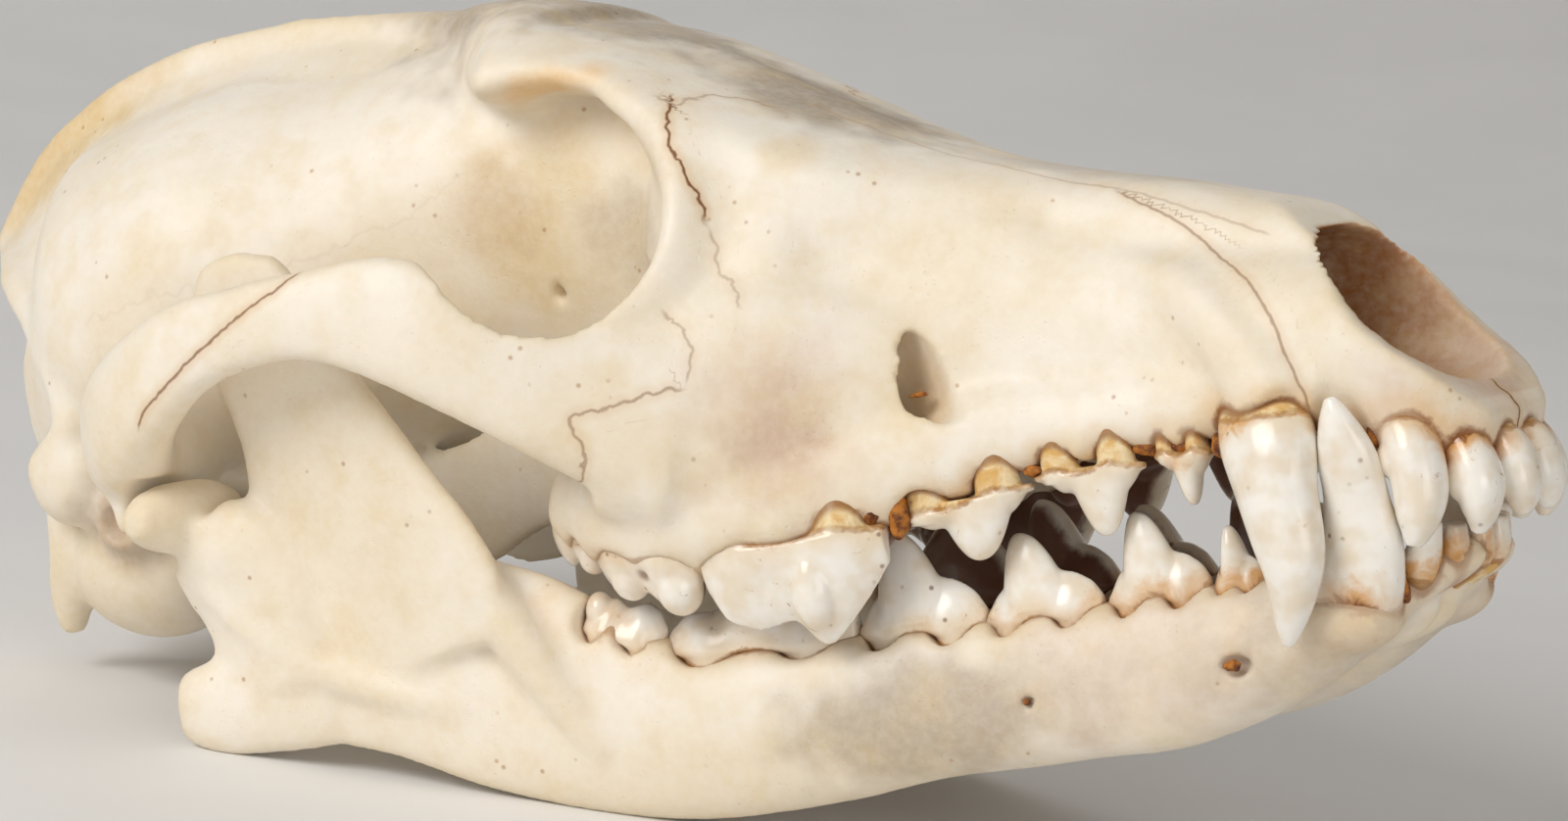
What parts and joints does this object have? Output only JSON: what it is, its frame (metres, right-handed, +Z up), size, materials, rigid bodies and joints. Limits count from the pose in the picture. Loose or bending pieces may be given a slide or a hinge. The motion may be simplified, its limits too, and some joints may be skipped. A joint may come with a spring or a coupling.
{
  "type": "coyote skull",
  "caption": "Life-size coyote skull with its lower jaw closed, all teeth in place, resting on the jaw as on a museum table.",
  "frame": {"origin": "middle of the bounding box, on the floor that the skull rests on", "axes": "+X from the back of the skull to the snout, +Y to the animal's left, +Z up from the floor"},
  "size_m": [0.2098, 0.0992, 0.085],
  "materials": {
    "bone": "dry cleaned bone, satin, ivory with warm and grey stains",
    "tooth_enamel": "glossy white enamel with brown specks and amber necks",
    "dried_tissue": "dried brown gum remains at the tooth necks"
  },
  "bodies": {
    "root": {"cranium": "bone", "mandible_left": "bone", "mandible_right": "bone"}
  },
  "joints": []
}
